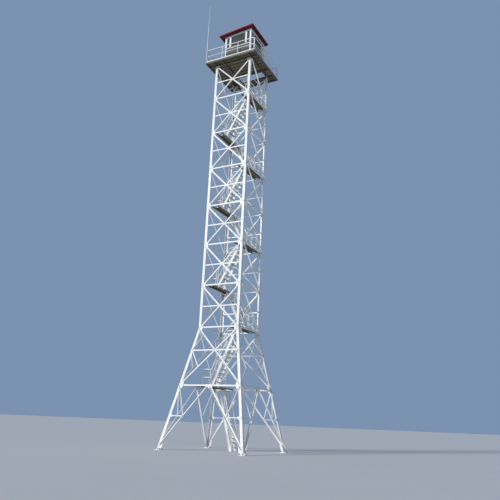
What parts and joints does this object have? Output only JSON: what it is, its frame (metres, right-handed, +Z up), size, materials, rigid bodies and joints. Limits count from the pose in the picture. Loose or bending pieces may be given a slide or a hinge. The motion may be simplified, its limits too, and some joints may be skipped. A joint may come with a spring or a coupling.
{
  "type": "steel lattice lookout tower",
  "caption": "Open steel lattice lookout tower with splayed legs, a zigzag stair inside the shaft, a railed platform and a small glazed cabin under a red sloping roof.",
  "frame": {"origin": "middle of the underside of the front left base plate, on the ground", "axes": "+X along the front face from the left leg to the right leg, +Y from the front face to the back face, +Z up"},
  "size_m": [6.5, 6.5, 34.6206],
  "materials": {
    "white_steel": "white paint, weathered",
    "grey_plate": "grey-brown deck plate",
    "window_glass": "dark glass",
    "red_roof": "red paint"
  },
  "bodies": {
    "root": {"cabin_door": "white_steel", "cabin_glass_back": "window_glass", "cabin_glass_front": "window_glass", "cabin_glass_right": "window_glass", "cabin_roof": "red_roof", "cabin_wall_back": "white_steel", "cabin_wall_front": "white_steel", "cabin_wall_left": "white_steel", "cabin_wall_right": "white_steel", "landing_1": "white_steel", "landing_2": "white_steel", "landing_3": "white_steel", "landing_4": "white_steel", "landing_5": "white_steel", "landing_6": "white_steel", "landing_7": "white_steel", "landing_8": "white_steel", "leg_back_left": "white_steel", "leg_back_right": "white_steel", "leg_front_left": "white_steel", "leg_front_right": "white_steel", "lightning_rod": "white_steel", "lower_base_bracing_back": "white_steel", "lower_base_bracing_front": "white_steel", "lower_base_bracing_left": "white_steel", "lower_base_bracing_right": "white_steel", "platform_beams": "white_steel", "platform_deck": "grey_plate", "platform_railing": "white_steel", "shaft_bracing_back": "white_steel", "shaft_bracing_front": "white_steel", "shaft_bracing_left": "white_steel", "shaft_bracing_right": "white_steel", "stair_flight_1": "white_steel", "stair_flight_2": "white_steel", "stair_flight_3": "white_steel", "stair_flight_4": "white_steel", "stair_flight_5": "white_steel", "stair_flight_6": "white_steel", "stair_flight_7": "white_steel", "stair_flight_8": "white_steel", "stair_flight_9": "white_steel", "upper_base_bracing_back": "white_steel", "upper_base_bracing_front": "white_steel", "upper_base_bracing_left": "white_steel", "upper_base_bracing_right": "white_steel"}
  },
  "joints": []
}
